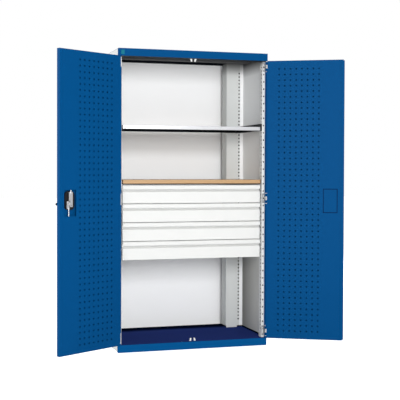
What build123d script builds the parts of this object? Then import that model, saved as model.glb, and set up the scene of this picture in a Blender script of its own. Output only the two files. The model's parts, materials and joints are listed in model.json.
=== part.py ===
"""Tall steel workshop drawer cabinet with two hinged tool-panel doors.

The front of the cabinet faces -Y, +X is to the right and +Z is up. The origin is the
middle of the underside of the base. Doors stand open as they rest, drawers are closed
and the lock rods are drawn back.
"""
from build123d import *
import os
from math import cos, radians, sin

# Carcass
width = 1050.0
depth = 650.0
height = 2000.0
sheet = 1.5
fascia_height = 50.0
fold_depth = 28.0
back_inset = 63.5
half_width = width / 2
front = -depth / 2
rear = depth / 2
wall_inner = half_width - sheet
back_face = rear - back_inset - sheet
tray_return = 40.0
clearance = 1.0
fixing_hole = 11.0
fixing_inset = 25.0
fixing_x = 460.0
floor_upstand = 12.0
ceiling_rail_height = 17.0

# Slotted posts
slot = 10.0
narrow_slot = 8.0
post_return = 12.0
slot_pitch = 25.0
slot_first_z = 110.0
slot_count = 73
front_post_x = 498.0
front_post_front = front + 28.5
front_post_depth = 43.5
front_slot_y = front + 45.0
front_slot_x = 509.0
rear_post_x = 395.0
rear_post_front = front + 434.0
rear_post_return = 90.0
rear_slot_x = 492.0
rear_tab_width = 86.0
post_bottom_gap = 12.0

# Roof stiffener
stiffener_width = 52.0
stiffener_height = 28.5

# Doors
leaf_gap = 2.0
leaf_bottom = fascia_height + leaf_gap
leaf_top = height - fascia_height - leaf_gap
leaf_depth = 26.0
skin = 1.2
pivot_x = 517.0
pivot_depth = 6.0
pivot_y = front + pivot_depth
leaf_end = pivot_x - 1.5
leaf_lip = 7.0
hinge_flange = 2.0
stile_edge = 493.0
left_rest_angle = 151.6
right_rest_angle = 155.1
panel_gap = 0.5
hole = 10.0
hole_pitch = 38.0
hole_columns = 8
hole_rows = 48
hole_first_s = 87.0
hole_first_z = 105.0
window_s = 432.0
window_width = 96.0
window_height = 164.0
window_z = 996.0
stop_lip = 6.5
stop_lip_clear = 0.4
stop_lip_end = 6.0

# Hinges
hinge_levels = (98.0, 1010.0, 1912.0)
hinge_half = 33.0
hinge_notch_half = 36.0
hinge_notch_s = 8.0
knuckle_half = 12.0
knuckle_gap = 0.5
knuckle_radius = 4.5
pin_radius = 3.0
running_clearance = 0.05
hinge_plate = 2.2
hinge_plate_x = 500.0
hinge_slot_length = 44.0
hinge_slot_width = 7.0

# Door stops in the middle of the opening
cone_x = 14.0
cone_depth = 36.0
cone_height = 18.0
cone_root = 7.5
cone_tip = 5.0
cone_lean = 2.0
cone_ledge = 46.0

# Lock
spindle_s = 430.0
spindle_z = 990.0
spindle_radius = 6.0
crank_radius = 14.0
crank_pin_radius = 2.5
crank_turn = 90.0
rod_radius = 4.0
rod_depth = 19.0
rod_offset = 8.5
rod_travel = 2 * crank_radius * sin(radians(crank_turn / 2))
rod_hole = 11.0
rod_plate_near = 2.5
rod_plate_far = 24.0
rod_plate_reach = 18.0
rod_head_far = 20.0
rod_head_near = 7.0
rod_head_low = 21.0
housing_near = 44.0
housing_far = 34.0
housing_low = 36.0
housing_high = 80.0
housing_corner = 28.0
guide_width = 26.0
guide_height = 20.0
guide_inset = 48.0
crank_plate_depth = 14.0
crank_plate = 3.0
rod_plate = 2.0
rod_plate_gap = 1.0

# Shelf and worktop
insert_half = 487.5
shelf_top = 1500.0
shelf_height = 25.0
shelf_front = front + 36.0
insert_rear = rear_post_front - 4.0
worktop_bottom = 1107.0
worktop_height = 30.0
worktop_front = front + 29.0
ledge = 1.5
ledge_inner = 466.0
bracket_outer = 498.0
shelf_bracket_top = 1522.0
shelf_hooks = (1485.0, 1510.0)
worktop_hooks = (1085.0, 1110.0)
hook_reach = 3.0
hook_size = 8.0
bracket_web_gap = 3.0
ledge_gap = 12.0
bracket_drop = 32.0
bracket_rise = 24.0
screw_radius = 2.0
screw_head_radius = 4.5
screw_head_height = 2.2
screw_length = 17.0
screw_bite = 15.0
screw_inset = 90.0
screw_x = 480.0

# Drawers
drawer_count = 4
drawer_pitch = 125.0
drawer_front_height = 121.0
drawer_stack_top = 1102.0
drawer_panel_y = front + 40.0
drawer_lip_y = front + 31.0
drawer_lip_height = 27.0
drawer_grip_back = front + 54.0
drawer_grip_floor = 46.0
drawer_box_half = 464.0
drawer_box_front = front + 56.0
drawer_box_rear = rear_post_front - 8.0
drawer_box_drop = 30.0
drawer_floor_rise = 8.0
box_sheet = 1.5

# Telescopic runners
runner_front = front + 60.0
runner_rear = rear_post_front - 8.0
runner_drop = 75.0
runner_sheet = 2.0
runner_gap = 0.5
outer_half = 23.0
outer_flange = 16.0
middle_web_x = 483.0
middle_inner_x = 472.0
middle_outer_x = 494.0
inner_flange_x = 481.0

os.makedirs("parts", exist_ok=True)


def bar(x0, x1, y0, y1, z0, z1, mode=Mode.ADD):
    """A rectangular bar between two corners, added to the piece being made."""
    with Locations(((x0 + x1) / 2, (y0 + y1) / 2, (z0 + z1) / 2)):
        Box(abs(x1 - x0), abs(y1 - y0), abs(z1 - z0), mode=mode)


def save(piece, name):
    """Label a finished piece and write it."""
    piece.part.label = name
    export_step(piece.part, "parts/" + name + ".step")
    print(name, round(piece.part.volume / 1000, 1), "cm3", len(piece.part.solids()), "solid(s)")


# Base tray: floor with a front fascia, rear skirt, turned-in feet and low side upstands
lower_rod_x = -pivot_x + spindle_s + rod_offset
upper_rod_x = -pivot_x + spindle_s - rod_offset
rod_y = front + rod_depth
with BuildPart() as base_tray:
    bar(-wall_inner, wall_inner, front, rear, fascia_height - sheet, fascia_height)
    bar(-half_width, half_width, front, front + sheet, 0, fascia_height)
    bar(-wall_inner, wall_inner, rear - sheet, rear, 0, fascia_height)
    bar(-wall_inner, wall_inner, front, front + tray_return, 0, sheet)
    bar(-wall_inner, wall_inner, rear - tray_return, rear, 0, sheet)
    for side in (-1, 1):
        bar(side * wall_inner, side * half_width, front, front + fold_depth, 0, fascia_height)
        bar(side * (wall_inner - sheet), side * wall_inner, front_post_front + front_post_depth,
            rear_post_front - clearance, fascia_height, fascia_height + floor_upstand)
    with Locations((lower_rod_x, rod_y, fascia_height)):
        Cylinder(rod_hole / 2, 4 * sheet, mode=Mode.SUBTRACT)
    with Locations(*[(x, y, sheet / 2) for x in (-fixing_x, fixing_x)
                     for y in (front + fixing_inset, rear - fixing_inset)]):
        Cylinder(fixing_hole / 2, 2 * sheet, mode=Mode.SUBTRACT)
    fillet(base_tray.edges().filter_by(Axis.X).filter_by_position(
        Axis.Y, front - 0.01, front + 0.01).filter_by_position(
        Axis.Z, fascia_height - 0.01, fascia_height + 0.01), sheet)
save(base_tray, "base_tray")

# Top tray: roof with a front fascia, its turned-in lower edge and a low rail at the back wall
with BuildPart() as top_tray:
    bar(-half_width, half_width, front, rear, height - sheet, height)
    bar(-half_width, half_width, front, front + sheet, height - fascia_height, height)
    bar(-wall_inner, wall_inner, rear - sheet, rear, height - fascia_height, height)
    bar(-wall_inner, wall_inner, front, front + cone_ledge,
        height - fascia_height, height - fascia_height + sheet)
    bar(-wall_inner, wall_inner, back_face - sheet, back_face,
        height - sheet - ceiling_rail_height, height)
    for side in (-1, 1):
        bar(side * wall_inner, side * half_width, front, front + fold_depth,
            height - fascia_height, height)
    with Locations((upper_rod_x, rod_y, height - fascia_height)):
        Cylinder(rod_hole / 2, 4 * sheet, mode=Mode.SUBTRACT)
    fillet(top_tray.edges().filter_by(Axis.X).filter_by_position(
        Axis.Y, front - 0.01, front + 0.01), sheet)
save(top_tray, "top_tray")

# Side panels: outer walls with a turned-in rear edge
for side, name in ((-1, "left"), (1, "right")):
    with BuildPart() as side_panel:
        bar(side * wall_inner, side * half_width, front + fold_depth, rear, 0, height - sheet)
        bar(side * (wall_inner - fixing_inset), side * wall_inner, rear - sheet, rear,
            fascia_height, height - fascia_height)
    save(side_panel, "side_panel_" + name)

# Back panel, set in from the rear edge of the walls
with BuildPart() as back_panel:
    bar(-wall_inner, wall_inner, back_face, back_face + sheet, fascia_height, height - sheet)
save(back_panel, "back_panel")

# Roof stiffener: a channel under the roof from wall to wall
with BuildPart() as roof_stiffener:
    low = height - sheet - stiffener_height
    bar(-wall_inner, wall_inner, -stiffener_width / 2, stiffener_width / 2, low, low + sheet)
    for side in (-1, 1):
        bar(-wall_inner, wall_inner, side * stiffener_width / 2,
            side * (stiffener_width / 2 - sheet), low, height - sheet)
save(roof_stiffener, "roof_stiffener")


def slot_levels():
    """Heights of the middle of every slot in a post."""
    return [slot_first_z + slot_pitch * i for i in range(slot_count)]


# Front posts: folded box behind each door, slotted in its front and inner faces
for side, name in ((-1, "left"), (1, "right")):
    with BuildPart() as front_post:
        low = fascia_height
        high = height - fascia_height
        bar(side * front_post_x, side * wall_inner, front_post_front, front_post_front + sheet,
            low, high)
        bar(side * front_post_x, side * (front_post_x + sheet), front_post_front,
            front_post_front + front_post_depth, low, high)
        bar(side * front_post_x, side * wall_inner, front_post_front + front_post_depth - sheet,
            front_post_front + front_post_depth, low, high)
        bar(side * (wall_inner - sheet), side * wall_inner, front_post_front,
            front_post_front + front_post_depth, low, high)
        with BuildSketch(Plane.XZ.offset(-front_post_front)):
            with Locations(*[(side * front_slot_x, z) for z in slot_levels()[::2]]):
                Rectangle(narrow_slot, slot)
        extrude(amount=-2 * sheet, mode=Mode.SUBTRACT)
        with BuildSketch(Plane.YZ.offset(side * front_post_x)):
            with Locations(*[(front_slot_y, z) for z in slot_levels()]):
                Rectangle(slot, slot)
        extrude(amount=side * 2 * sheet, mode=Mode.SUBTRACT)
    save(front_post, "front_post_" + name)

# Rear posts: wide folded profile in each rear corner with one slotted column
for side, name in ((-1, "left"), (1, "right")):
    with BuildPart() as rear_post:
        low = fascia_height + post_bottom_gap
        high = height - sheet - ceiling_rail_height
        bar(side * rear_post_x, side * wall_inner, rear_post_front, rear_post_front + sheet,
            low, high)
        bar(side * rear_post_x, side * (rear_post_x + sheet), rear_post_front,
            rear_post_front + rear_post_return, low, high)
        bar(side * (wall_inner - sheet), side * wall_inner, rear_post_front, back_face - sheet,
            low, high)
        bar(side * (rear_post_x + 2 * sheet), side * (rear_post_x + rear_tab_width),
            rear_post_front, rear_post_front + sheet, fascia_height, low)
        with BuildSketch(Plane.XZ.offset(-rear_post_front)):
            with Locations(*[(side * rear_slot_x, z) for z in slot_levels()]):
                Rectangle(slot, slot)
        extrude(amount=-2 * sheet, mode=Mode.SUBTRACT)
    save(rear_post, "rear_post_" + name)

# Shelf: folded tray with a deep front and rear edge
with BuildPart() as shelf:
    bar(-insert_half, insert_half, shelf_front, insert_rear, shelf_top - sheet, shelf_top)
    for edge, inward in ((shelf_front, 1), (insert_rear, -1)):
        bar(-insert_half, insert_half, edge, edge + inward * sheet,
            shelf_top - shelf_height, shelf_top)
        bar(-insert_half, insert_half, edge, edge + inward * post_return,
            shelf_top - shelf_height, shelf_top - shelf_height + sheet)
    for side in (-1, 1):
        bar(side * insert_half, side * (insert_half - sheet), shelf_front, insert_rear,
            shelf_top - shelf_height, shelf_top)
    fillet(shelf.edges().filter_by(Axis.X).filter_by_position(
        Axis.Y, shelf_front - 0.01, shelf_front + 0.01), 0.9 * sheet)
save(shelf, "shelf")


def bracket(side, ledge_top, web_low, web_high, hook_levels):
    """A side bracket: upright web, ledge and rear tab, hooked into the post slots."""
    bar(side * (bracket_outer - ledge), side * bracket_outer,
        front_post_front + bracket_web_gap, rear_post_front, web_low, web_high)
    bar(side * ledge_inner, side * bracket_outer, front_post_front + ledge_gap, rear_post_front,
        ledge_top - ledge, ledge_top)
    bar(side * ledge_inner, side * bracket_outer, rear_post_front - ledge, rear_post_front,
        web_low, ledge_top)
    for z in hook_levels:
        bar(side * (bracket_outer - ledge), side * (bracket_outer + hook_reach),
            front_slot_y - hook_size / 2, front_slot_y + hook_size / 2,
            z - hook_size / 2, z + hook_size / 2)


# Brackets under the shelf ends
for side, name in ((-1, "left"), (1, "right")):
    with BuildPart() as shelf_bracket:
        bracket(side, shelf_top - shelf_height, shelf_top - shelf_height - ledge,
                shelf_bracket_top, shelf_hooks)
    save(shelf_bracket, "shelf_bracket_" + name)

# Worktop: solid plywood board with eased edges and pilot holes for its screws
screw_rows = [front + screw_inset, (front + insert_rear) / 2, insert_rear - screw_inset / 2]
screw_places = [(side * screw_x, y) for side in (-1, 1) for y in screw_rows]
with BuildPart() as worktop:
    bar(-insert_half, insert_half, worktop_front, insert_rear, worktop_bottom,
        worktop_bottom + worktop_height)
    fillet(worktop.edges().filter_by(Axis.X).filter_by_position(
        Axis.Y, worktop_front - 0.01, worktop_front + 0.01), 2.0)
    with Locations(*[(x, y, worktop_bottom + screw_bite / 2 + 0.5) for x, y in screw_places]):
        Cylinder(screw_radius, screw_bite + 1, mode=Mode.SUBTRACT)
save(worktop, "worktop")

# Brackets under the worktop ends
for side, name in ((-1, "left"), (1, "right")):
    with BuildPart() as worktop_bracket:
        bracket(side, worktop_bottom, worktop_bottom - bracket_drop,
                worktop_bottom + bracket_rise, worktop_hooks)
        with Locations(*[(side * screw_x, y, worktop_bottom) for y in screw_rows]):
            Cylinder(screw_radius, 4 * ledge, mode=Mode.SUBTRACT)
    save(worktop_bracket, "worktop_bracket_" + name)

# Worktop screws, from below through the ledges
with BuildPart() as worktop_screws:
    with Locations(*[(x, y, worktop_bottom + screw_bite - screw_length / 2)
                     for x, y in screw_places]):
        Cylinder(screw_radius, screw_length)
    with Locations(*[(x, y, worktop_bottom - ledge - screw_head_height / 2)
                     for x, y in screw_places]):
        Cylinder(screw_head_radius, screw_head_height)
save(worktop_screws, "worktop_screws")

# Drawers: folded front with a full-width grip, and a box behind it
for i in range(drawer_count):
    top = drawer_stack_top - drawer_pitch * i
    low = top - drawer_front_height
    grip = top - drawer_grip_floor
    with BuildPart() as drawer_front:
        with BuildSketch(Plane.YZ.offset(-insert_half)):
            with BuildLine():
                Polyline((drawer_box_front, low), (drawer_panel_y, low), (drawer_panel_y, grip),
                         (drawer_grip_back, grip + 12), (drawer_grip_back, top - sheet),
                         (drawer_lip_y + 4, top - sheet), (drawer_lip_y + sheet, top - 6),
                         (drawer_lip_y + sheet, top - drawer_lip_height + 2),
                         (drawer_lip_y + 2 * sheet, top - drawer_lip_height),
                         (drawer_lip_y + sheet, top - drawer_lip_height - 1),
                         (drawer_lip_y, top - drawer_lip_height + 1),
                         (drawer_lip_y, top - 5), (drawer_lip_y + 5, top),
                         (drawer_box_front, top), close=True)
            make_face()
        extrude(amount=2 * insert_half)
        with BuildSketch(Plane.YZ.offset(-insert_half + sheet)):
            with BuildLine():
                Polyline((drawer_box_front, low + sheet), (drawer_panel_y + sheet, low + sheet),
                         (drawer_panel_y + sheet, grip - 1),
                         (drawer_grip_back + sheet, grip + 11),
                         (drawer_grip_back + sheet, top - sheet),
                         (drawer_box_front, top - sheet), close=True)
            make_face()
        extrude(amount=2 * (insert_half - sheet), mode=Mode.SUBTRACT)
    save(drawer_front, "drawer_front_%d" % (i + 1))

    floor_low = low + drawer_floor_rise
    with BuildPart() as drawer_box:
        bar(-drawer_box_half, drawer_box_half, drawer_box_front, drawer_box_rear,
            floor_low, top - drawer_box_drop)
        bar(-drawer_box_half + box_sheet, drawer_box_half - box_sheet,
            drawer_box_front + box_sheet, drawer_box_rear - box_sheet,
            floor_low + box_sheet, top, mode=Mode.SUBTRACT)
    save(drawer_box, "drawer_box_%d" % (i + 1))

    level = top - runner_drop
    middle_half = outer_half - runner_sheet - runner_gap
    inner_half = middle_half - runner_sheet - runner_gap
    with BuildPart() as runner_outer:
        for side in (-1, 1):
            bar(side * (bracket_outer - runner_sheet), side * bracket_outer, runner_front,
                rear_post_front, level - outer_half, level + outer_half)
            bar(side * (bracket_outer - outer_flange), side * bracket_outer,
                rear_post_front - runner_sheet, rear_post_front,
                level - outer_half, level + outer_half)
            for end in (-1, 1):
                bar(side * (bracket_outer - outer_flange), side * bracket_outer, runner_front,
                    rear_post_front, level + end * outer_half,
                    level + end * (outer_half - runner_sheet))
    save(runner_outer, "runner_outer_%d" % (i + 1))
    with BuildPart() as runner_middle:
        for side in (-1, 1):
            bar(side * middle_web_x, side * (middle_web_x + runner_sheet), runner_front,
                runner_rear, level - middle_half, level + middle_half)
            for end in (-1, 1):
                bar(side * middle_inner_x, side * middle_outer_x, runner_front, runner_rear,
                    level + end * middle_half, level + end * (middle_half - runner_sheet))
    save(runner_middle, "runner_middle_%d" % (i + 1))
    with BuildPart() as runner_inner:
        for side in (-1, 1):
            bar(side * drawer_box_half, side * (drawer_box_half + runner_sheet), runner_front,
                runner_rear, level - inner_half, level + inner_half)
            for end in (-1, 1):
                bar(side * drawer_box_half, side * inner_flange_x, runner_front, runner_rear,
                    level + end * inner_half, level + end * (inner_half - runner_sheet))
    save(runner_inner, "runner_inner_%d" % (i + 1))


def leaf_frame(side):
    """Frame of a door on its hinge axis: local X closed is world X, local Y points inward."""
    angle = -left_rest_angle if side < 0 else right_rest_angle
    return Plane(origin=(side * pivot_x, pivot_y, 0),
                 x_dir=(cos(radians(angle)), sin(radians(angle)), 0), z_dir=(0, 0, 1))


def leaf_face(side, at_depth):
    """Upright plane in a door at a depth behind its outer face, normal outward."""
    frame = leaf_frame(side)
    return Plane(origin=frame.from_local_coords((0, at_depth - pivot_depth, 0)),
                 x_dir=frame.x_dir, z_dir=-frame.y_dir)


def leaf_bar(side, s0, s1, d0, d1, z0, z1, mode=Mode.ADD):
    """A bar in a door: s runs from the hinge axis to the free edge, d from the outer face."""
    bar(-side * s0, -side * s1, d0 - pivot_depth, d1 - pivot_depth, z0, z1, mode)


# Door skins: outer sheet with folded edges; the right one has a strip over the joint
for side, name in ((-1, "left"), (1, "right")):
    with BuildPart(leaf_frame(side)) as door_skin:
        leaf_bar(side, -leaf_lip, leaf_end, 0, skin, leaf_bottom, leaf_top)
        leaf_bar(side, leaf_end - skin, leaf_end, 0, leaf_depth, leaf_bottom, leaf_top)
        leaf_bar(side, stile_edge, leaf_end, leaf_depth - skin, leaf_depth,
                 leaf_bottom, leaf_top)
        leaf_bar(side, hinge_flange, hinge_flange + skin, 0, leaf_depth, leaf_bottom, leaf_top)
        for rim, inward in ((leaf_bottom, 1), (leaf_top, -1)):
            leaf_bar(side, hinge_flange, leaf_end, 0, leaf_depth, rim, rim + inward * skin)
        for level in hinge_levels:
            leaf_bar(side, -2 * leaf_lip, hinge_notch_s, -1, 2 * leaf_depth,
                     level - hinge_notch_half, level + hinge_notch_half, mode=Mode.SUBTRACT)
        if side < 0:
            with BuildSketch(leaf_face(side, 0)):
                with Locations((spindle_s, spindle_z)):
                    Circle(spindle_radius + 2)
            extrude(amount=-2 * skin, mode=Mode.SUBTRACT)
            for rod_s, rim in ((spindle_s - rod_offset, leaf_top),
                               (spindle_s + rod_offset, leaf_bottom)):
                with Locations((rod_s, rod_depth - pivot_depth, rim)):
                    Cylinder(rod_radius + 1, 4 * skin, mode=Mode.SUBTRACT)
        else:
            leaf_bar(side, leaf_end - 10, leaf_end + stop_lip, leaf_depth + stop_lip_clear,
                     leaf_depth + stop_lip_clear + skin, leaf_bottom + stop_lip_end,
                     leaf_top - stop_lip_end)
            leaf_bar(side, leaf_end - 10, leaf_end, leaf_depth - skin,
                     leaf_depth + stop_lip_clear + skin, leaf_bottom + stop_lip_end,
                     leaf_top - stop_lip_end)
    save(door_skin, "door_skin_" + name)

# Door panels: tool panels with rows of square holes and a window by the lock stile
for side, name in ((-1, "left"), (1, "right")):
    panel_low = leaf_bottom + skin + panel_gap
    panel_high = leaf_top - skin - panel_gap
    panel_s0 = hinge_flange + skin + panel_gap
    panel_s1 = stile_edge - panel_gap
    with BuildPart() as door_panel:
        with BuildSketch(leaf_face(side, leaf_depth - skin)):
            with Locations((-side * (panel_s0 + panel_s1) / 2, (panel_low + panel_high) / 2)):
                Rectangle(panel_s1 - panel_s0, panel_high - panel_low)
            with Locations((-side * (hole_first_s + (hole_columns - 1) * hole_pitch / 2),
                            hole_first_z + (hole_rows - 1) * hole_pitch / 2)):
                with GridLocations(hole_pitch, hole_pitch, hole_columns, hole_rows):
                    Rectangle(hole, hole, mode=Mode.SUBTRACT)
            with Locations((-side * window_s, window_z)):
                Rectangle(window_width, window_height, mode=Mode.SUBTRACT)
            with Locations(*[(-side * panel_s0, level) for level in hinge_levels]):
                Rectangle(2 * (hinge_notch_s - panel_s0), 2 * hinge_notch_half,
                          mode=Mode.SUBTRACT)
        extrude(amount=-skin)
    save(door_panel, "door_panel_" + name)

# Blank cover behind the window of the right door
with BuildPart(leaf_frame(1)) as window_cover:
    margin = 6.0
    cover_depth = leaf_depth - 4
    leaf_bar(1, window_s - window_width / 2 - margin, window_s + window_width / 2 + margin,
             cover_depth - skin, cover_depth, window_z - window_height / 2 - margin,
             window_z + window_height / 2 + margin)
    for end in (-1, 1):
        edge = window_s + end * (window_width / 2 + margin)
        leaf_bar(1, edge, edge - end * skin, cover_depth - skin, leaf_depth - skin,
                 window_z - window_height / 2 - margin, window_z + window_height / 2 + margin)
save(window_cover, "window_cover")

# Hinges: slotted bracket on the post, leaf bracket in the door and a pin
for side, name in ((-1, "left"), (1, "right")):
    with BuildPart() as hinge_bracket:
        for level in hinge_levels:
            bar(side * hinge_plate_x, side * (half_width - 3), front_post_front - hinge_plate,
                front_post_front, level - hinge_half, level + hinge_half)
            bar(side * (pivot_x + 2), side * (half_width - 3), pivot_y,
                front_post_front - hinge_plate, level - knuckle_half, level + knuckle_half)
            with Locations((side * pivot_x, pivot_y, level)):
                Cylinder(knuckle_radius, 2 * knuckle_half)
            with Locations((side * pivot_x, pivot_y, level)):
                Cylinder(pin_radius, 3 * knuckle_half, mode=Mode.SUBTRACT)
        with BuildSketch(Plane.XZ.offset(-(front_post_front - 2 * hinge_plate))):
            with Locations(*[(side * (hinge_plate_x + 9), level) for level in hinge_levels]):
                SlotOverall(hinge_slot_length, hinge_slot_width, rotation=90)
        extrude(amount=-2 * hinge_plate, mode=Mode.SUBTRACT)
    save(hinge_bracket, "hinge_brackets_" + name)

    with BuildPart() as hinge_pin:
        with Locations(*[(side * pivot_x, pivot_y, level) for level in hinge_levels]):
            Cylinder(pin_radius, 2 * hinge_half)
    save(hinge_pin, "hinge_pins_" + name)

    with BuildPart(leaf_frame(side)) as hinge_leaf:
        for level in hinge_levels:
            leaf_bar(side, hinge_notch_s + 1, hinge_notch_s + 30, skin, skin + 2,
                     level - hinge_half, level + hinge_half)
            for end in (-1, 1):
                z0 = level + end * (knuckle_half + knuckle_gap)
                z1 = level + end * hinge_half
                leaf_bar(side, 0, hinge_notch_s + 3, skin, pivot_depth, z0, z1)
                with Locations((0, 0, (z0 + z1) / 2)):
                    Cylinder(knuckle_radius, abs(z1 - z0))
                with Locations((0, 0, (z0 + z1) / 2)):
                    Cylinder(pin_radius + running_clearance, abs(z1 - z0), mode=Mode.SUBTRACT)
    save(hinge_leaf, "hinge_leaves_" + name)

# Door stops: two leaning cones in the middle of the opening, top and bottom
for name, root, down in (("top", height - fascia_height, -1), ("bottom", fascia_height, 1)):
    with BuildPart() as cones:
        for side in (-1, 1):
            with BuildSketch(Plane.XY.offset(root)):
                with Locations((side * (cone_x + cone_lean), front + cone_depth)):
                    Circle(cone_root)
            with BuildSketch(Plane.XY.offset(root + down * cone_height)):
                with Locations((side * (cone_x - cone_lean), front + cone_depth)):
                    Circle(cone_tip)
            loft()
    save(cones, "cones_" + name)

# Lock of the left door: housing behind the skin and a handle plate outside
lock = leaf_frame(-1)
lock_axis = Axis((0, 0, 0), lock.y_dir)
housing_depth = crank_plate_depth - 1
with BuildPart(lock) as lock_housing:
    leaf_bar(-1, spindle_s - housing_near, spindle_s + housing_far, skin, housing_depth,
             spindle_z - housing_low, spindle_z + housing_high)
    fillet(lock_housing.edges().filter_by(lock_axis), housing_corner)
    with BuildSketch(leaf_face(-1, 0)):
        with Locations((spindle_s, spindle_z)):
            Circle(spindle_radius + running_clearance)
    extrude(amount=-leaf_depth, mode=Mode.SUBTRACT)
save(lock_housing, "lock_housing")

plate_depth = 5.0
with BuildPart(lock) as handle_plate:
    leaf_bar(-1, spindle_s - 28, spindle_s + 28, -plate_depth, 0,
             spindle_z - 100, spindle_z + 40)
    fillet(handle_plate.edges().filter_by(lock_axis), 12)
    with BuildSketch(leaf_face(-1, -2 * plate_depth)):
        with Locations((spindle_s, spindle_z)):
            Circle(spindle_radius + running_clearance)
    extrude(amount=-3 * plate_depth, mode=Mode.SUBTRACT)
save(handle_plate, "handle_plate")

# Lever with its spindle; at rest it points to the free edge
lever_gap = 0.5
lever_out = 24.0
lever_length = 88.0
with BuildPart() as lock_lever:
    with BuildSketch(leaf_face(-1, -lever_out)):
        with Locations((spindle_s, spindle_z)):
            Circle(11)
    extrude(amount=-(lever_out - plate_depth - lever_gap))
    with BuildSketch(leaf_face(-1, -lever_out)):
        with Locations((spindle_s + lever_length / 2 - 8, spindle_z)):
            SlotOverall(lever_length, 16)
    extrude(amount=-9)
    fillet(lock_lever.edges().group_by(lock_axis)[0], 2.4)
    with BuildSketch(leaf_face(-1, -lever_out + 2)):
        with Locations((spindle_s, spindle_z)):
            Circle(spindle_radius)
    extrude(amount=-(lever_out - 2 + crank_plate_depth))
save(lock_lever, "lock_lever")

# Crank on the inner end of the spindle, with a pin for each rod
half_turn = radians(crank_turn / 2)
pin_s = crank_radius * cos(half_turn)
pin_z = crank_radius * sin(half_turn)
crank_inner = crank_plate_depth + crank_plate
rod_plate_outer = crank_inner + rod_plate_gap
with BuildPart() as lock_crank:
    with BuildSketch(leaf_face(-1, crank_plate_depth)):
        with Locations((spindle_s, spindle_z)):
            Circle(10)
            SlotCenterToCenter(2 * crank_radius, 12, rotation=crank_turn / 2)
    extrude(amount=-crank_plate)
    with BuildSketch(leaf_face(-1, crank_inner)):
        with Locations((spindle_s - pin_s, spindle_z - pin_z),
                       (spindle_s + pin_s, spindle_z + pin_z)):
            Circle(crank_pin_radius)
    extrude(amount=-(rod_plate_gap + rod_plate + 1))
save(lock_crank, "lock_crank")

# Lock rods: slotted end plate over its crank pin and a round rod to the door's rim
slot_width = 2 * (crank_pin_radius + 0.7)
for name, hand, rod_end, plate_end in (("upper", -1, leaf_top - 2, 75.0),
                                       ("lower", 1, leaf_bottom + 2, 30.0)):
    rod_s = spindle_s + hand * rod_offset
    plate_near = spindle_z + hand * rod_plate_reach
    plate_far = spindle_z - hand * plate_end
    rod_start = plate_far + hand * 2 * rod_radius
    with BuildPart(lock) as lock_rod:
        leaf_bar(-1, spindle_s + hand * rod_plate_near, spindle_s + hand * rod_plate_far,
                 rod_plate_outer, rod_plate_outer + rod_plate, plate_near, plate_far)
        if hand < 0:
            leaf_bar(-1, spindle_s - rod_head_far, spindle_s + rod_head_near, rod_plate_outer,
                     rod_plate_outer + rod_plate, spindle_z + rod_head_low, plate_far)
        with BuildSketch(leaf_face(-1, 0)):
            with Locations((spindle_s + hand * (pin_s + crank_radius) / 2,
                            spindle_z + hand * pin_z)):
                SlotOverall(crank_radius - pin_s + slot_width, slot_width)
        extrude(amount=-2 * leaf_depth, mode=Mode.SUBTRACT)
        with Locations((rod_s, rod_depth - pivot_depth, (rod_start + rod_end) / 2)):
            Cylinder(rod_radius, abs(rod_end - rod_start))
    save(lock_rod, "lock_rod_" + name)

# Rod guides near the rims
with BuildPart(lock) as rod_guides:
    for hand, level in ((-1, leaf_top - guide_inset), (1, leaf_bottom + guide_inset)):
        rod_s = spindle_s + hand * rod_offset
        leaf_bar(-1, rod_s - guide_width / 2, rod_s + guide_width / 2, skin,
                 leaf_depth - skin, level - guide_height / 2, level + guide_height / 2)
        with Locations((rod_s, rod_depth - pivot_depth, level)):
            Cylinder(rod_radius + running_clearance, 2 * guide_height, mode=Mode.SUBTRACT)
save(rod_guides, "rod_guides")

# Bare plate at the left end of the top fascia
plate_width = 23.0
plate_height = 28.0
plate_thick = 0.8
plate_left = -half_width + 16
plate_top = height - 12
with BuildPart() as fascia_plate:
    bar(plate_left, plate_left + plate_width, front - plate_thick, front,
        plate_top - plate_height, plate_top)
save(fascia_plate, "fascia_plate")
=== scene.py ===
# %% [markdown]
# Workshop drawer cabinet
#
# A tall sheet-steel cabinet with two tool-panel doors, a shelf, a plywood worktop and four drawers.
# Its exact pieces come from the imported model, which is the fixed frame. This notebook gives them
# their finishes, adds the small fasteners, sets the camera and lights it like the photograph.

# %% Load the fixed frame
import json
import math

import bpy
from mathutils import Matrix, Vector


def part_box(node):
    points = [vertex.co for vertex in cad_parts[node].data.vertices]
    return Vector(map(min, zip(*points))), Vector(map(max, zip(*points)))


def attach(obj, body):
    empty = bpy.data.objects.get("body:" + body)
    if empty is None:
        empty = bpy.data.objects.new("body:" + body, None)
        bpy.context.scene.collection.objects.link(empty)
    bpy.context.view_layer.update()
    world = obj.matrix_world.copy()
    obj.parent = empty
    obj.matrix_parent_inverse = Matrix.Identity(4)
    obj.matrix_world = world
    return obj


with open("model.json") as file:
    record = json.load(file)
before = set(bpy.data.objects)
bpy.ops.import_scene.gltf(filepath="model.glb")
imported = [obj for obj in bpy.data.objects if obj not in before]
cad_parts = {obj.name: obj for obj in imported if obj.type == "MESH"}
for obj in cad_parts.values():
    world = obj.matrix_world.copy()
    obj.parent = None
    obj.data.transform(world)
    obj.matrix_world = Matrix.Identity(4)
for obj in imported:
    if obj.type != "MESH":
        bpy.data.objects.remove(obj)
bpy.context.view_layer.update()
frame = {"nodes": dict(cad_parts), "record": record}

MM = 0.001
NODES = frame["nodes"]


# %% [markdown]
# Camera
#
# The photograph is nearly level: its upright edges are parallel. The rows of holes in both doors
# gave the camera's place, its turn and its lens. The cabinet stands to the right of the point that
# the lens looks at. Turning the camera towards it would make its upright edges meet, so the picture
# is moved sideways on the sensor instead.

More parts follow.
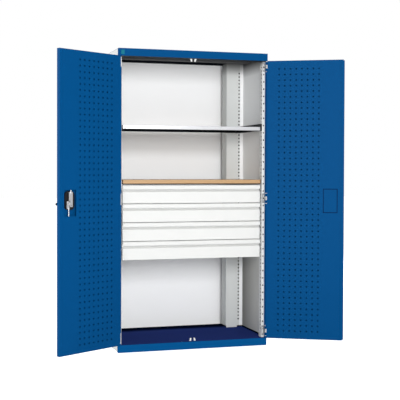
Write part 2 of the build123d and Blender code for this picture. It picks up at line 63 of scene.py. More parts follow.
# %% Camera
EYE = Vector((-1.873, -5.740, 1.202))
TURN = math.radians(15.014)
NOD = math.radians(0.990)
ROLL = math.radians(0.114)
PICTURE = 400
FOCAL_PIXELS = 853.0
CENTRE_X = 134.0
CENTRE_Y = 184.8
SENSOR = 36.0
FARTHEST = 100.0

camera_data = bpy.data.cameras.new("camera")
camera_data.sensor_width = SENSOR
camera_data.lens = FOCAL_PIXELS / PICTURE * SENSOR
camera_data.shift_x = (PICTURE / 2 - CENTRE_X) / PICTURE
camera_data.shift_y = (CENTRE_Y - PICTURE / 2) / PICTURE
camera_data.clip_end = FARTHEST
camera = bpy.data.objects.new("camera", camera_data)
bpy.context.scene.collection.objects.link(camera)
level = Matrix.Rotation(-TURN, 4, "Z") @ Matrix.Rotation(math.pi / 2 - NOD, 4, "X")
camera.matrix_world = Matrix.Translation(EYE) @ level @ Matrix.Rotation(ROLL, 4, "Z")
bpy.context.scene.camera = camera
print("lens", round(camera_data.lens, 2), "shift", round(camera_data.shift_x, 3))

# %% [markdown]
# Materials, nodes and meshes
#
# Every finish is a small tree of nodes that ends in a Principled shader, and everything added to the
# fixed pieces is a plain mesh. Each of these takes several lines of Blender's own calls, so four
# short helpers do it once. The Standard view keeps a colour as it is written.

# %% Materials, nodes and meshes
scene = bpy.context.scene
scene.view_settings.view_transform = "Standard"


def new_material(name, colour, roughness, metallic=0.0):
    """A material with its constants set on the shader's own sockets, and that shader."""
    made = bpy.data.materials.new(name)
    made.use_nodes = True
    shader = made.node_tree.nodes["Principled BSDF"]
    shader.inputs["Base Color"].default_value = (*colour, 1)
    shader.inputs["Roughness"].default_value = roughness
    shader.inputs["Metallic"].default_value = metallic
    return made, shader


def add_node(owner, kind, **values):
    """A node in the tree of a material or the world; values are sockets, _ for a space."""
    node = owner.node_tree.nodes.new(kind)
    for key, value in values.items():
        node.inputs[key.replace("_", " ")].default_value = value
    return node


def link(owner, start, end):
    """Link an output socket to an input socket."""
    owner.node_tree.links.new(start, end)


def mesh_object(name, vertices, faces):
    """A plain mesh object in the scene."""
    mesh = bpy.data.meshes.new(name)
    mesh.from_pydata(vertices, [], faces)
    made = bpy.data.objects.new(name, mesh)
    scene.collection.objects.link(made)
    return made


print("view", scene.view_settings.view_transform)

# %% [markdown]
# Floor
#
# The background of a catalogue picture is plain white, but a floor has to take the shadow. The floor
# is a pale plane that glows a little for the camera only. The glow lifts it to white, throws no
# light on the cabinet and keeps the shadow. Under the base it doesn't glow, because there it would
# shine up through the hole for the lock rod. A mask decides where: a value from nought to one that is
# worked out from the place of a point.

# %% Floor
FLOOR_HALF = 30.0
FLOOR_WHITE = 0.9
FLOOR_ROUGHNESS = 0.9
FLOOR_LIFT = 0.78
GLOW_STARTS = (-0.02, 0.0)


def axis_parts(owner, source, output):
    """The X, Y and Z outputs of a node's vector output."""
    vector = add_node(owner, source)
    parts = add_node(owner, "ShaderNodeSeparateXYZ")
    link(owner, vector.outputs[output], parts.inputs[0])
    return parts.outputs


def calculate(owner, operation, *values):
    """The result of a maths node; each value is a socket or a plain number."""
    node = add_node(owner, "ShaderNodeMath")
    node.operation = operation
    for socket, value in zip(node.inputs, values):
        if isinstance(value, float):
            socket.default_value = value
        else:
            link(owner, value, socket)
    return node.outputs[0]


def ramp_mask(owner, value, edge, reach):
    """A mask that rises from nought to one between two distances past an edge."""
    start, end = reach
    ramp = add_node(owner, "ShaderNodeMapRange", From_Min=edge + start, From_Max=edge + end)
    link(owner, value, ramp.inputs["Value"])
    return ramp.outputs["Result"]


corners = [(x * FLOOR_HALF, y * FLOOR_HALF, 0) for x, y in ((-1, -1), (1, -1), (1, 1), (-1, 1))]
floor = mesh_object("floor", corners, [(0, 1, 2, 3)])
floor_paint, floor_shader = new_material("floor_paint", (FLOOR_WHITE,) * 3, FLOOR_ROUGHNESS)
floor_shader.inputs["Emission Color"].default_value = (FLOOR_LIFT,) * 3 + (1,)
ray = add_node(floor_paint, "ShaderNodeLightPath")
place = axis_parts(floor_paint, "ShaderNodeTexCoord", "Object")
base_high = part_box("base_tray")[1]
beside_base = ramp_mask(floor_paint, calculate(floor_paint, "ABSOLUTE", place["X"]),
                        base_high.x, GLOW_STARTS)
before_base = ramp_mask(floor_paint, calculate(floor_paint, "ABSOLUTE", place["Y"]),
                        base_high.y, GLOW_STARTS)
clear_of_base = calculate(floor_paint, "MAXIMUM", beside_base, before_base)
glow = calculate(floor_paint, "MULTIPLY", ray.outputs["Is Camera Ray"], clear_of_base)
link(floor_paint, glow, floor_shader.inputs["Emission Strength"])
floor.data.materials.append(floor_paint)
print("floor", 2 * FLOOR_HALF, "m wide")

# %% [markdown]
# Sky
#
# The camera and shiny metal see plain white all round, but the light that reaches the paint comes
# from a much dimmer sky, so that the lamps can model the shapes. One background can't do both. Two
# are mixed by the kind of ray that asks.

# %% Sky
SKY_LIGHT = 0.32
WHITE = (1, 1, 1, 1)

world = bpy.data.worlds.new("studio")
scene.world = world
world.use_nodes = True
world.node_tree.nodes.clear()
path = add_node(world, "ShaderNodeLightPath").outputs
eye_or_mirror = calculate(world, "MAXIMUM", path["Is Camera Ray"], path["Is Glossy Ray"])
sees_white = calculate(world, "MAXIMUM", eye_or_mirror, path["Is Transmission Ray"])
dim_sky = add_node(world, "ShaderNodeBackground", Strength=SKY_LIGHT, Color=WHITE)
white_sky = add_node(world, "ShaderNodeBackground", Strength=1.0, Color=WHITE)
mixed_sky = add_node(world, "ShaderNodeMixShader")
link(world, sees_white, mixed_sky.inputs[0])
link(world, dim_sky.outputs[0], mixed_sky.inputs[1])
link(world, white_sky.outputs[0], mixed_sky.inputs[2])
sky_output = add_node(world, "ShaderNodeOutputWorld")
link(world, mixed_sky.outputs[0], sky_output.inputs["Surface"])
print("sky of strength", SKY_LIGHT)

# %% [markdown]
# Lamps
#
# The photograph has soft light and hardly a shadow. A wide lamp beside the camera reaches the back
# wall inside, and weaker ones light the sides, the back and the roof. They are area lamps, because
# the size of such a lamp sets how soft its shadows are.

# %% Lamps
def soft_lamp(name, place, aim, size, power):
    """A square area lamp that looks at a point."""
    data = bpy.data.lights.new(name, "AREA")
    data.size = size
    data.energy = power
    lamp = bpy.data.objects.new(name, data)
    scene.collection.objects.link(lamp)
    turn = (Vector(aim) - Vector(place)).to_track_quat("-Z", "Y").to_matrix().to_4x4()
    lamp.matrix_world = Matrix.Translation(place) @ turn


soft_lamp("key_lamp", place=(-0.9, -5.6, 2.0), aim=(0, 0, 1.0), size=2.0, power=237)
soft_lamp("left_lamp", place=(-5.0, 1.5, 2.5), aim=(0, 0, 1.1), size=3.0, power=170)
soft_lamp("rear_right_lamp", place=(5.0, 3.0, 2.8), aim=(0, 0, 1.1), size=3.0, power=150)
soft_lamp("top_lamp", place=(0, 0.2, 4.5), aim=(0, 0, 0), size=3.0, power=30)
print("lamps:", *[lamp.name for lamp in bpy.data.lights])

# %% [markdown]
# Powder coat
#
# Sheet steel is sprayed with charged paint powder and baked. The film flows almost smooth, so light
# breaks on it in a soft highlight with a very fine ripple. A noise far finer than a finger's width
# bends the surface a little. The colour itself stays even, so no picture of paint is needed. Inside,
# the back wall gets a paler grey, as painted light that brightens it where the lamps reach too
# little.

# %% Powder coat
BLUE = (0.001, 0.063, 0.200)
LIGHT_GREY = (0.73, 0.735, 0.72)
BACK_WALL_LIT_GREY = (0.97, 0.975, 0.98)
DARK_GREY_AND_SHADE = (0.045, 0.047, 0.05)
STIFFENER_SHADE_GREY = (0.085, 0.087, 0.09)
SHEEN = 0.02
RIPPLE_SCALE = 900.0
RIPPLE_DETAIL = 2.0
RIPPLE_HEIGHT = 0.0002
BLUE_FILM = {"roughness": 0.5, "ripple": 0.15}
GREY_FILM = {"roughness": 0.45, "ripple": 0.12}


def powder_coat(name, colour, roughness, ripple):
    """Painted sheet steel with a fine ripple, and its shader."""
    made, shader = new_material(name, colour, roughness)
    shader.inputs["Specular IOR Level"].default_value = SHEEN
    coordinates = add_node(made, "ShaderNodeTexCoord")
    noise = add_node(made, "ShaderNodeTexNoise", Scale=RIPPLE_SCALE, Detail=RIPPLE_DETAIL)
    bump = add_node(made, "ShaderNodeBump", Strength=ripple, Distance=RIPPLE_HEIGHT)
    link(made, coordinates.outputs["Object"], noise.inputs["Vector"])
    link(made, noise.outputs["Fac"], bump.inputs["Height"])
    link(made, bump.outputs["Normal"], shader.inputs["Normal"])
    return made, shader


blue_paint, _ = powder_coat("blue_paint", BLUE, **BLUE_FILM)
grey_paint, _ = powder_coat("light_grey_paint", LIGHT_GREY, **GREY_FILM)
# The shelf brackets take this dark grey, which also stands in for the shade beside the side wall
# where they stand.
dark_paint_and_shade, _ = powder_coat("dark_grey_paint", DARK_GREY_AND_SHADE, **BLUE_FILM)
# The channel that stiffens the roof gets a dark grey that is painted shade, for the deep shade under
# the roof.
stiffener_shade_paint, _ = powder_coat("stiffener_painted_shade", STIFFENER_SHADE_GREY, **BLUE_FILM)
print(blue_paint.name, grey_paint.name, dark_paint_and_shade.name, stiffener_shade_paint.name)

# %% [markdown]
# Paint of the base
#
# The base is one folded sheet in the blue of the doors. Its floor lies in shade, and a darker navy,
# almost black at the back wall, is painted on it as painted shade. A second material would need its
# own faces, and these are the imported model's. So masks pick the faces that look up, between the
# fascia and the back wall, and darken the paint there. The low upstands at the sides get painted
# shade from the floor up.

# %% Paint of the base
BASE_BLUE = (0.0025, 0.082, 0.25)
# The floor's navy and the dark at its foot and upstands are painted shade.
FLOOR_SHADE_NAVY = (0.021, 0.038, 0.168)
FOOT_SHADE = (0.001, 0.003, 0.012)
FLOOR_LEVEL = 0.05
ABOVE_FLOOR = (0.0005, 0.0009)
BEHIND_FASCIA = (0.002, 0.006)
BEFORE_WALL = (0.001, 0.0)
SHADE_AT_WALL = (-0.16, -0.09)
LOOKING_UP = (0.8, 0.95)


def blend_colours(owner, mask, below, above):
    """Mix of two colours by a mask; each is a plain colour or a socket."""
    mixer = add_node(owner, "ShaderNodeMix")
    mixer.data_type = "RGBA"
    link(owner, mask, mixer.inputs["Factor"])
    for socket, colour in ((mixer.inputs["A"], below), (mixer.inputs["B"], above)):
        if isinstance(colour, tuple):
            socket.default_value = (*colour, 1)
        else:
            link(owner, colour, socket)
    return mixer.outputs["Result"]


def where_all(owner, *masks):
    """A mask that holds only where every one of the masks holds."""
    held = masks[0]
    for mask in masks[1:]:
        held = calculate(owner, "MULTIPLY", held, mask)
    return held


wall_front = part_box("back_panel")[0].y
base_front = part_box("base_tray")[0].y
base_paint, base_shader = powder_coat("blue_paint_base", BLUE, **BLUE_FILM)
base_shader.inputs["Specular IOR Level"].default_value = 0.0
place = axis_parts(base_paint, "ShaderNodeTexCoord", "Object")
looks = axis_parts(base_paint, "ShaderNodeNewGeometry", "Normal")
cabinet_floor = where_all(base_paint,
                          ramp_mask(base_paint, place["Y"], base_front, BEHIND_FASCIA),
                          ramp_mask(base_paint, place["Y"], wall_front, BEFORE_WALL),
                          ramp_mask(base_paint, looks["Z"], 0.0, LOOKING_UP))
at_wall = ramp_mask(base_paint, place["Y"], wall_front, SHADE_AT_WALL)
upstands = ramp_mask(base_paint, place["Z"], FLOOR_LEVEL, ABOVE_FLOOR)
tone = blend_colours(base_paint, at_wall, FLOOR_SHADE_NAVY, FOOT_SHADE)
tone = blend_colours(base_paint, cabinet_floor, BASE_BLUE, tone)
tone = blend_colours(base_paint, upstands, tone, FOOT_SHADE)
link(base_paint, tone, base_shader.inputs["Base Color"])
print(base_paint.name, "darkens from", round(wall_front + SHADE_AT_WALL[0], 3), "m")

# %% [markdown]
# Paint of the roof
#
# The roof is a tray turned over. From outside it is as blue as the doors, but its hollow is in deep
# shade, behind the channel that stiffens it. The mask starts inside the sheet, a millimetre from
# the outer faces, so that it darkens the inner faces and leaves the outer ones.

# %% Paint of the roof
ROOF_HOLLOW = (0.006, 0.008, 0.012)
INTO_SHEET = (0.0008, 0.0012)
UNDER_SHEET = (-0.0008, -0.0012)

roof_low, roof_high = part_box("top_tray")
roof_paint, roof_shader = powder_coat("blue_paint_roof", BLUE, **BLUE_FILM)
place = axis_parts(roof_paint, "ShaderNodeTexCoord", "Object")
aside = calculate(roof_paint, "ABSOLUTE", place["X"])
hollow = where_all(roof_paint,
                   ramp_mask(roof_paint, place["Y"], roof_low.y, INTO_SHEET),
                   ramp_mask(roof_paint, place["Z"], roof_high.z, UNDER_SHEET),
                   ramp_mask(roof_paint, place["Y"], wall_front, BEFORE_WALL),
                   ramp_mask(roof_paint, aside, roof_high.x, UNDER_SHEET))
link(roof_paint, blend_colours(roof_paint, hollow, BLUE, ROOF_HOLLOW),
     roof_shader.inputs["Base Color"])
print(roof_paint.name, "hollow between", round(roof_low.z, 3), "and", round(roof_high.z, 3), "m")

# %% [markdown]
# Paint of the posts
#
# The slotted posts are folded boxes. No light gets in, so every slot looks dark. A render lets some
# in, so the paint itself is dark inside the box, as painted shade. A rear post's face gets a darker
# grey as painted shade, and its strip outside the slots a paler one as a painted highlight. Under
# the roof all posts fade into painted shade.

# %% Paint of the posts
# The rear post's darker grey is painted shade, and the paler grey of its strip a painted highlight.
SHADED_POST_GREY = (0.63, 0.645, 0.635)
STRIP_HIGHLIGHT_GREY = (0.84, 0.845, 0.85)
CAVITY = (0.03, 0.03, 0.03)
ROOF_SHADE = (0.10, 0.10, 0.10)
FACE_DEPTH = 0.0007
SOFT = 0.0002
THROUGH_FACE = (FACE_DEPTH, FACE_DEPTH + SOFT)
THROUGH_REAR = (-FACE_DEPTH, -FACE_DEPTH - SOFT)
STRIP_EDGE = 0.4985
FRONT_POST_SHADE = (-0.035, 0.0)
REAR_POST_SHADE = (-0.085, 0.0)


def post_paint(name, node, face, strip, roof_reach):
    """Light grey paint with painted shade inside a post's folded box and under the roof, and a
    painted highlight on its strip.
    """
    made, shader = powder_coat(name, face, **GREY_FILM)
    low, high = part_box(node)
    place = axis_parts(made, "ShaderNodeTexCoord", "Object")
    aside = calculate(made, "ABSOLUTE", place["X"])
    within = where_all(made,
                       ramp_mask(made, aside, min(abs(low.x), abs(high.x)), THROUGH_FACE),
                       ramp_mask(made, place["Y"], low.y, THROUGH_FACE),
                       ramp_mask(made, place["Y"], high.y, THROUGH_REAR))
    past_slots = ramp_mask(made, aside, STRIP_EDGE, (0.0, SOFT))
    near_roof = ramp_mask(made, place["Z"], high.z, roof_reach)
    tone = blend_colours(made, past_slots, face, strip)
    tone = blend_colours(made, near_roof, tone, ROOF_SHADE)
    link(made, blend_colours(made, within, tone, CAVITY), shader.inputs["Base Color"])
    return made


front_post_paint = post_paint("light_grey_paint_front_post", "front_post_right",
                              LIGHT_GREY, LIGHT_GREY, FRONT_POST_SHADE)
rear_post_paint = post_paint("light_grey_paint_rear_post", "rear_post_right",
                             SHADED_POST_GREY, STRIP_HIGHLIGHT_GREY, REAR_POST_SHADE)
print(front_post_paint.name, rear_post_paint.name)

# %% [markdown]
# Paint of the side walls
#
# A side wall is bright outside. Inside, its upper part is painted paler as painted light, it fades
# into painted shade under the roof, and below the drawers painted shade dulls it towards the back,
# because the drawers keep the light off. The mask holds on the inner face only, and stops at the back
# wall, behind which the wall's own fold shows from outside.

# %% Paint of the side walls
# The paler upper grey is painted light; the lower and corner greys are painted shade.
WALL_LIT_UPPER = (0.92, 0.93, 0.93)
WALL_SHADE_LOWER = (0.68, 0.68, 0.64)
WALL_CORNER_SHADE = (0.20, 0.20, 0.19)
WALL_INNER_FACE = (-0.0005, -FACE_DEPTH)
WALL_ROOF_SHADE = (-0.12, -0.03)
ROUND_BAY_TOP = (-0.02, 0.02)
CORNER_TO_DOOR = (0.11, -0.18)

wall_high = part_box("side_panel_right")[1]
bay_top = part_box("drawer_front_4")[0].z
wall_paint, wall_shader = powder_coat("light_grey_paint_wall", LIGHT_GREY, **GREY_FILM)
place = axis_parts(wall_paint, "ShaderNodeTexCoord", "Object")
aside = calculate(wall_paint, "ABSOLUTE", place["X"])
inner_face = where_all(wall_paint,
                       ramp_mask(wall_paint, aside, wall_high.x, WALL_INNER_FACE),
                       ramp_mask(wall_paint, place["Y"], wall_front, BEFORE_WALL))
forward = ramp_mask(wall_paint, place["Y"], 0.0, CORNER_TO_DOOR)
above_bay = ramp_mask(wall_paint, place["Z"], bay_top, ROUND_BAY_TOP)
near_roof = ramp_mask(wall_paint, place["Z"], wall_high.z, WALL_ROOF_SHADE)
tone = blend_colours(wall_paint, forward, WALL_CORNER_SHADE, WALL_SHADE_LOWER)
tone = blend_colours(wall_paint, above_bay, tone, WALL_LIT_UPPER)
tone = blend_colours(wall_paint, near_roof, tone, ROOF_SHADE)
link(wall_paint, blend_colours(wall_paint, inner_face, LIGHT_GREY, tone),
     wall_shader.inputs["Base Color"])
print(wall_paint.name, "dull below", round(bay_top, 3), "m")

# %% [markdown]
# Paint of the back wall
#
# The shelf throws a soft shade on the back wall, for a hand's width below it. The lamps here are too
# wide to throw it, so it is painted, as a band that starts behind the shelf and fades out. The
# wall's outer face is as grey as the side walls.

# %% Paint of the back wall
SHELF_SHADE = (0.76, 0.755, 0.75)
SHADE_FADES_OUT = (-0.205, -0.117)
SHADE_STARTS = (0.01, 0.0)
WALL_OUTER_FACE = (FACE_DEPTH - SOFT, FACE_DEPTH)

shelf_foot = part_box("shelf")[0].z
# The paler grey of the inner face is painted light.
inner_paint, inner_shader = powder_coat("light_grey_paint_inner", BACK_WALL_LIT_GREY, **GREY_FILM)
place = axis_parts(inner_paint, "ShaderNodeTexCoord", "Object")
under_shelf = where_all(inner_paint,
                        ramp_mask(inner_paint, place["Z"], shelf_foot, SHADE_FADES_OUT),
                        ramp_mask(inner_paint, place["Z"], shelf_foot, SHADE_STARTS))
outer_face = ramp_mask(inner_paint, place["Y"], wall_front, WALL_OUTER_FACE)
tone = blend_colours(inner_paint, under_shelf, BACK_WALL_LIT_GREY, SHELF_SHADE)
tone = blend_colours(inner_paint, outer_face, tone, LIGHT_GREY)
link(inner_paint, tone, inner_shader.inputs["Base Color"])
print(inner_paint.name, "in shade below", round(shelf_foot, 3), "m")

# %% [markdown]
# Paint of the blank cover
#
# The blank cover lies a little behind the window of the right door, so a line of shadow runs round
# it. The door stands open, and its edges lie along no axis of the room. The cover's place is measured
# along the door instead, from its hinge, and the paint is dark within a few millimetres of the
# window's rim.

# %% Paint of the blank cover
SHADOW_BLUE = (0.0005, 0.014, 0.06)
SHADOW_LINE = 0.006
SHADOW_CORE = 0.6
WINDOW_ALONG = 0.432
WINDOW_HEIGHT = 0.996
WINDOW_WIDTH = 0.096
WINDOW_TALL = 0.164


def door_axes(joint, side):
    """Directions along and into an open door, and its hinge's place."""
    hinge = [j for j in frame["record"]["behaviour"]["joints"] if j["name"] == joint][0]
    swing = math.radians(-side * max(abs(d) for d in hinge["range_deg"]))
    along = Vector((side * math.cos(swing), side * math.sin(swing), 0))
    inward = Vector((-math.sin(swing), math.cos(swing), 0))
    return along, inward, Vector(hinge["pos_m"])


cover_paint, cover_shader = powder_coat("blue_paint_cover", BLUE, **BLUE_FILM)
along_right, _, pivot_right = door_axes("right_door_hinge", -1)
coordinates = add_node(cover_paint, "ShaderNodeTexCoord")
along_door = add_node(cover_paint, "ShaderNodeVectorMath")
along_door.operation = "DOT_PRODUCT"
along_door.inputs[1].default_value = along_right
link(cover_paint, coordinates.outputs["Object"], along_door.inputs[0])
place = axis_parts(cover_paint, "ShaderNodeTexCoord", "Object")
window_middle = along_right.dot(pivot_right) + WINDOW_ALONG
rims = [(value, middle + way * size / 2, way)
        for value, middle, size in ((along_door.outputs["Value"], window_middle, WINDOW_WIDTH),
                                    (place["Z"], WINDOW_HEIGHT, WINDOW_TALL))
        for way in (-1, 1)]
clear_of_rim = where_all(cover_paint, *[
    ramp_mask(cover_paint, value, rim, (-way * SHADOW_LINE * SHADOW_CORE, -way * SHADOW_LINE))
    for value, rim, way in rims])
link(cover_paint, blend_colours(cover_paint, clear_of_rim, SHADOW_BLUE, BLUE),
     cover_shader.inputs["Base Color"])
print(cover_paint.name, "with a line of", SHADOW_LINE / MM, "mm")

# %% [markdown]
# Zinc plate
#
# Hinge brackets, runners and lock rods are plated with zinc, a bright metal with a faint cloudy
# bloom. The cloud is a slow change of roughness, so some places mirror a little more than others. A
# change of colour would look like dirt. The hinges are duller and darker than the rest.

# %% Zinc plate
ZINC = (0.60, 0.61, 0.63)
HINGE_ZINC = (0.36, 0.37, 0.38)
BRIGHT = (0.25, 0.45)
DULL = (0.45, 0.65)
BLOOM_SCALE = 35.0
BLOOM_DETAIL = 3.0


def zinc_plate(name, colour, roughness):
    """Plated steel whose roughness drifts between two values, and its shader."""
    smoothest, roughest = roughness
    made, shader = new_material(name, colour, (smoothest + roughest) / 2, 1.0)
    coordinates = add_node(made, "ShaderNodeTexCoord")
    bloom = add_node(made, "ShaderNodeTexNoise", Scale=BLOOM_SCALE, Detail=BLOOM_DETAIL)
    spread = add_node(made, "ShaderNodeMapRange", To_Min=smoothest, To_Max=roughest)
    link(made, coordinates.outputs["Object"], bloom.inputs["Vector"])
    link(made, bloom.outputs["Fac"], spread.inputs["Value"])
    link(made, spread.outputs["Result"], shader.inputs["Roughness"])
    return made, shader


zinc, _ = zinc_plate("zinc_plated_steel", ZINC, BRIGHT)
hinge_zinc, _ = zinc_plate("zinc_plated_steel_hinge", HINGE_ZINC, DULL)
print(zinc.name, hinge_zinc.name)

# %% [markdown]
# Zinc plate of the shelf
#
# The shelf is plated as well. Under it no lamp reaches the plate, and the photograph shows its
# underside black. The mask takes the faces that look down or sideways, behind the front edge.

# %% Zinc plate of the shelf
UNDERSIDE = (0.012, 0.014, 0.016)
BEHIND_FRONT = (0.001, 0.0014)
NOT_LOOKING_UP = (0.6, 0.4)

shelf_zinc, shelf_shader = zinc_plate("zinc_plated_steel_shelf", ZINC, BRIGHT)
place = axis_parts(shelf_zinc, "ShaderNodeTexCoord", "Object")
looks = axis_parts(shelf_zinc, "ShaderNodeNewGeometry", "Normal")
shelf_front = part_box("shelf")[0].y
shaded = where_all(shelf_zinc,
                   ramp_mask(shelf_zinc, place["Y"], shelf_front, BEHIND_FRONT),
                   ramp_mask(shelf_zinc, looks["Z"], 0.0, NOT_LOOKING_UP))
link(shelf_zinc, blend_colours(shelf_zinc, shaded, ZINC, UNDERSIDE),
     shelf_shader.inputs["Base Color"])
print(shelf_zinc.name, "black behind", round(shelf_front, 3), "m")

# %% [markdown]
# Plywood
#
# The worktop is a stack of thin beech sheets glued with the grain crosswise. From the front the cut
# edge shows them as light and dark lines; on top one sheet shows long grain. The height picks the
# line in the edge, and the direction a face looks decides between edge and top. The lowest line of
# the edge is dark, as it is in the shade of the gap over the drawers.

# %% Plywood
PLY = 0.0027
WOOD = (0.62, 0.42, 0.24)
WOOD_ROUGHNESS = 0.5
PALE_LINE = (0.42, (0.56, 0.37, 0.19))
DARK_LINE = (0.58, (0.37, 0.20, 0.08))
DARK_GRAIN = (0.3, (0.50, 0.30, 0.15))
PALE_GRAIN = (0.7, (0.68, 0.46, 0.27))
ALONG_GRAIN = (1.5, 22.0, 22.0)
GRAIN_SCALE = 6.0
GRAIN_DETAIL = 6.0
GRAIN_WAVE = 0.6
EDGE_SHADE = (0.02, 0.010, 0.004)
LOWEST_LINE = (0.0065, 0.0055)


def two_tones(owner, value, first, second):
    """A colour between two stops, each a value and a colour."""
    ramp = add_node(owner, "ShaderNodeValToRGB")
    for element, (stop, colour) in zip(ramp.color_ramp.elements, (first, second)):
        element.position = stop
        element.color = (*colour, 1)
    link(owner, value, ramp.inputs["Fac"])
    return ramp.outputs["Color"]


worktop_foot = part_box("worktop")[0].z
plywood, wood_shader = new_material("plywood", WOOD, WOOD_ROUGHNESS)
place = axis_parts(plywood, "ShaderNodeTexCoord", "Object")
looks = axis_parts(plywood, "ShaderNodeNewGeometry", "Normal")
rise = calculate(plywood, "SUBTRACT", place["Z"], worktop_foot)
sheet = calculate(plywood, "PINGPONG", rise, PLY)
edge_tone = two_tones(plywood, calculate(plywood, "DIVIDE", sheet, PLY), PALE_LINE, DARK_LINE)
coordinates = add_node(plywood, "ShaderNodeTexCoord")
stretch = add_node(plywood, "ShaderNodeMapping", Scale=ALONG_GRAIN)
link(plywood, coordinates.outputs["Object"], stretch.inputs["Vector"])
grain = add_node(plywood, "ShaderNodeTexNoise", Scale=GRAIN_SCALE, Detail=GRAIN_DETAIL,
                 Distortion=GRAIN_WAVE)
link(plywood, stretch.outputs["Vector"], grain.inputs["Vector"])
top_tone = two_tones(plywood, grain.outputs["Fac"], DARK_GRAIN, PALE_GRAIN)
flat = calculate(plywood, "ABSOLUTE", looks["Z"])
tone = blend_colours(plywood, flat, edge_tone, top_tone)
lowest = ramp_mask(plywood, place["Z"], worktop_foot, LOWEST_LINE)
link(plywood, blend_colours(plywood, lowest, tone, EDGE_SHADE), wood_shader.inputs["Base Color"])
print(plywood.name, "with sheets of", PLY / MM, "mm")

# %% [markdown]
# Plastics and the small plate
#
# The lock housing and the handle are moulded black plastic and the door stops white plastic. The
# small plate on the roof's fascia is green, and it is bare. None of them has a pattern, so each is
# a plain colour with its own roughness.

# %% Plastics and the small plate
BLACK = (0.006, 0.006, 0.007)
BLACK_SHEEN = 0.2
STOP_WHITE = (0.85, 0.85, 0.83)
PLATE_GREEN = (0.012, 0.155, 0.22)

black_plastic, black_shader = new_material("black_plastic", BLACK, roughness=0.5)
black_shader.inputs["Specular IOR Level"].default_value = BLACK_SHEEN
white_plastic, _ = new_material("white_plastic", STOP_WHITE, roughness=0.35)
green_plate, green_shader = new_material("green_plate", PLATE_GREEN, roughness=0.3)
green_shader.inputs["Specular IOR Level"].default_value = SHEEN
print(black_plastic.name, white_plastic.name, green_plate.name)

# %% [markdown]
# Finishes on the fixed pieces
#
# The record names one finish for each piece, so a table from that name to a material is enough. A
# second table holds the pieces whose paint has masks of its own.

# %% Finishes on the fixed pieces
FINISHES = {"blue_paint": blue_paint, "light_grey_paint": grey_paint,
            "dark_grey_paint": dark_paint_and_shade, "zinc_plated_steel": zinc, "plywood": plywood,
            "black_plastic": black_plastic, "white_plastic": white_plastic,
            "green_plate": green_plate}
OWN_FINISHES = {"base_tray": base_paint, "top_tray": roof_paint, "back_panel": inner_paint,
                "roof_stiffener": stiffener_shade_paint, "shelf": shelf_zinc, "window_cover": cover_paint}
for side in ("left", "right"):
    OWN_FINISHES["front_post_" + side] = front_post_paint
    OWN_FINISHES["rear_post_" + side] = rear_post_paint
    OWN_FINISHES["side_panel_" + side] = wall_paint
    OWN_FINISHES["hinge_brackets_" + side] = hinge_zinc
    OWN_FINISHES["hinge_pins_" + side] = hinge_zinc

for row in frame["record"]["subparts"]:
    piece = NODES[row["node"]]
    piece.data.materials.clear()
    piece.data.materials.append(OWN_FINISHES.get(row["node"], FINISHES[row["material_slot"]]))

# %% [markdown]
# Screw head
#
# A pan-head screw has a flat dome with straight sides and a cross recess. Only the head shows. It is
# made in Geometry Nodes: a flattened ball cut by a cylinder, less two crossed bars. One tree then
# makes both sizes of screw from named inputs.

# %% Screw head
ROUND_SIDES = 32
DOME_RINGS = 16
DOME_SPREAD = 1.25
SIDE_DEPTH = 2.2
RECESS_LENGTH = 1.1


def tree_node(tree, kind, values=None, links=None, **settings):
    """A Geometry Nodes node with its settings, plain input values and linked inputs."""
    node = tree.nodes.new(kind)
    for name, value in settings.items():
        setattr(node, name, value)
    for key, value in (values or {}).items():
        node.inputs[key].default_value = value
    for key, start in (links or {}).items():
        tree.links.new(start, node.inputs[key])
    return node


def tree_product(tree, value, factor):
    """A socket's value times a plain number."""
    node = tree_node(tree, "ShaderNodeMath", {1: factor}, {0: value}, operation="MULTIPLY")
    return node.outputs[0]


def tree_vector(tree, **parts):
    """A vector from sockets for X, Y and Z."""
    return tree_node(tree, "ShaderNodeCombineXYZ", links=parts).outputs[0]


def screw_head(tree, radius, height, recess):
    """Mesh of one head: a dome trimmed to its radius, with a cross recess."""
    wide = tree_product(tree, radius, DOME_SPREAD)
    ball = tree_node(tree, "GeometryNodeMeshUVSphere",
                     {"Segments": ROUND_SIDES, "Rings": DOME_RINGS, "Radius": 1.0})
    dome = tree_node(tree, "GeometryNodeTransform",
                     links={"Geometry": ball.outputs["Mesh"],
                            "Scale": tree_vector(tree, X=wide, Y=wide, Z=height)})
    side = tree_node(tree, "GeometryNodeMeshCylinder", {"Vertices": ROUND_SIDES},
                     {"Radius": radius, "Depth": tree_product(tree, height, SIDE_DEPTH)})
    trim = tree_node(tree, "GeometryNodeMeshBoolean", operation="INTERSECT")
    tree.links.new(dome.outputs["Geometry"], trim.inputs["Mesh 2"])
    tree.links.new(side.outputs["Mesh"], trim.inputs["Mesh 2"])
    cut = tree_node(tree, "GeometryNodeMeshBoolean", links={"Mesh 1": trim.outputs["Mesh"]},
                    operation="DIFFERENCE")
    long_side = tree_product(tree, radius, RECESS_LENGTH)
    for width, depth in ((long_side, recess), (recess, long_side)):
        bar = tree_node(tree, "GeometryNodeMeshCube",
                        links={"Size": tree_vector(tree, X=width, Y=depth, Z=height)})
        lifted = tree_node(tree, "GeometryNodeTransform",
                           links={"Geometry": bar.outputs["Mesh"],
                                  "Translation": tree_vector(tree, Z=height)})
        tree.links.new(lifted.outputs["Geometry"], cut.inputs["Mesh 2"])
    return cut.outputs["Mesh"]


print("screw head with", ROUND_SIDES, "sides")

# %% [markdown]
# Screws at their places
#
# A screw stops at any angle when it is tight, so each head is turned round its own axis by a random
# angle from a fixed seed. The tree sets a head on every point of a mesh, upright on the direction
# stored with that point, and makes real faces of the copies. The result is kept as a plain mesh that
# rides on one body.

# %% Screws at their places
SEED = 7


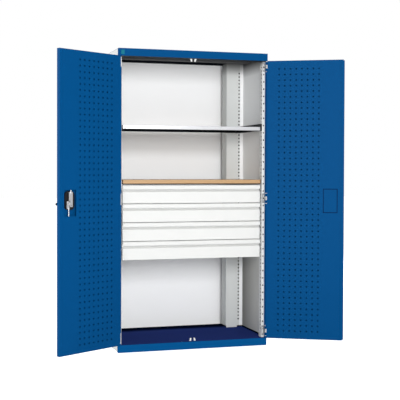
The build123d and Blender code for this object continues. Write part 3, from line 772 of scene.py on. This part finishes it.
def screw_tree():
    """Geometry Nodes tree that sets a screw head on each point of a mesh."""
    tree = bpy.data.node_groups.new("pan_head_screws", "GeometryNodeTree")
    for name, kind in (("Places", "Geometry"), ("Head radius", "Float"), ("Head height", "Float"),
                       ("Recess width", "Float"), ("Seed", "Int"), ("Finish", "Material")):
        tree.interface.new_socket(name, in_out="INPUT", socket_type="NodeSocket" + kind)
    tree.interface.new_socket("Screws", in_out="OUTPUT", socket_type="NodeSocketGeometry")
    given = tree_node(tree, "NodeGroupInput").outputs
    head = screw_head(tree, given["Head radius"], given["Head height"], given["Recess width"])
    facing = tree_node(tree, "GeometryNodeInputNamedAttribute", {"Name": "facing"},
                       data_type="FLOAT_VECTOR")
    stand = tree_node(tree, "FunctionNodeAlignRotationToVector",
                      links={"Vector": facing.outputs["Attribute"]}, axis="Z")
    angle = tree_node(tree, "FunctionNodeRandomValue", {"Max": math.pi},
                      {"Seed": given["Seed"]}, data_type="FLOAT")
    spin = tree_node(tree, "FunctionNodeAxisAngleToRotation", {"Axis": (0, 0, 1)},
                     {"Angle": angle.outputs["Value"]})
    turned = tree_node(tree, "FunctionNodeRotateRotation",
                       links={"Rotation": stand.outputs["Rotation"],
                              "Rotate By": spin.outputs["Rotation"]}, rotation_space="LOCAL")
    copies = tree_node(tree, "GeometryNodeInstanceOnPoints",
                       links={"Points": given["Places"], "Instance": head,
                              "Rotation": turned.outputs["Rotation"]})
    real = tree_node(tree, "GeometryNodeRealizeInstances",
                     links={"Geometry": copies.outputs["Instances"]})
    finished = tree_node(tree, "GeometryNodeSetMaterial",
                         links={"Geometry": real.outputs["Geometry"],
                                "Material": given["Finish"]})
    tree_node(tree, "NodeGroupOutput", links={"Screws": finished.outputs["Geometry"]})
    return tree


SCREWS = screw_tree()


def set_screws(name, body, places, facing, sizes, finish):
    """Screws at places of one body, as a plain mesh that rides on it."""
    points = mesh_object(name + "_points", places, [])
    looks_to = points.data.attributes.new("facing", "FLOAT_VECTOR", "POINT")
    looks_to.data.foreach_set("vector", [c for way in facing for c in way])
    nodes = points.modifiers.new("screws", "NODES")
    nodes.node_group = SCREWS
    values = {**sizes, "Seed": SEED, "Finish": finish}
    for item in SCREWS.interface.items_tree:
        if item.name in values:
            nodes[item.identifier] = values[item.name]
    solid = points.evaluated_get(bpy.context.evaluated_depsgraph_get())
    mesh = bpy.data.meshes.new_from_object(solid)
    bpy.data.objects.remove(points)
    made = bpy.data.objects.new(name, mesh)
    scene.collection.objects.link(made)
    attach(made, body)
    print(name, len(places), "screws", len(mesh.polygons), "faces")


print("tree", SCREWS.name, "with", len(SCREWS.nodes), "nodes")

# %% [markdown]
# Screws of the hinges
#
# Each hinge plate hangs in the slots of its post and two small screws hold it, one above and one
# below the knuckle. The screws are zinc plated and stay with the carcass when a door swings.

# %% Screws of the hinges
HINGE_LEVELS = (0.098, 1.010, 1.912)
HINGE_SCREW_X = 0.509
HINGE_SCREW_APART = 0.014
SMALL_HEAD = {"Head radius": 0.0032, "Head height": 0.0018, "Recess width": 0.001}

post_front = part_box("front_post_left")[0].y
hinge_places = [(side * HINGE_SCREW_X, post_front, level + hand * HINGE_SCREW_APART)
                for side in (-1, 1) for level in HINGE_LEVELS for hand in (-1, 1)]
set_screws("hinge_screws", "carcass", hinge_places,
           [(0, -1, 0)] * len(hinge_places), SMALL_HEAD, zinc)

# %% [markdown]
# Screws of the handle plate
#
# Two larger black screws hold the plate under the lever, outside the left door. Their places are
# measured along the open door from its hinge, as for the blank cover, and they swing with the door.

# %% Screws of the handle plate
PIVOT_DEPTH = 0.006
PLATE_FACE = -0.005
PLATE_ALONG = 0.430
PLATE_SCREW_HEIGHTS = (0.903, 1.018)
LARGE_HEAD = {"Head radius": 0.0045, "Head height": 0.0024, "Recess width": 0.0012}

along_left, inward_left, pivot_left = door_axes("left_door_hinge", 1)
plate_spot = pivot_left + along_left * PLATE_ALONG + inward_left * (PLATE_FACE - PIVOT_DEPTH)
handle_places = [(plate_spot.x, plate_spot.y, height) for height in PLATE_SCREW_HEIGHTS]
set_screws("handle_screws", "left_door", handle_places,
           [tuple(-inward_left)] * len(handle_places), LARGE_HEAD, black_plastic)
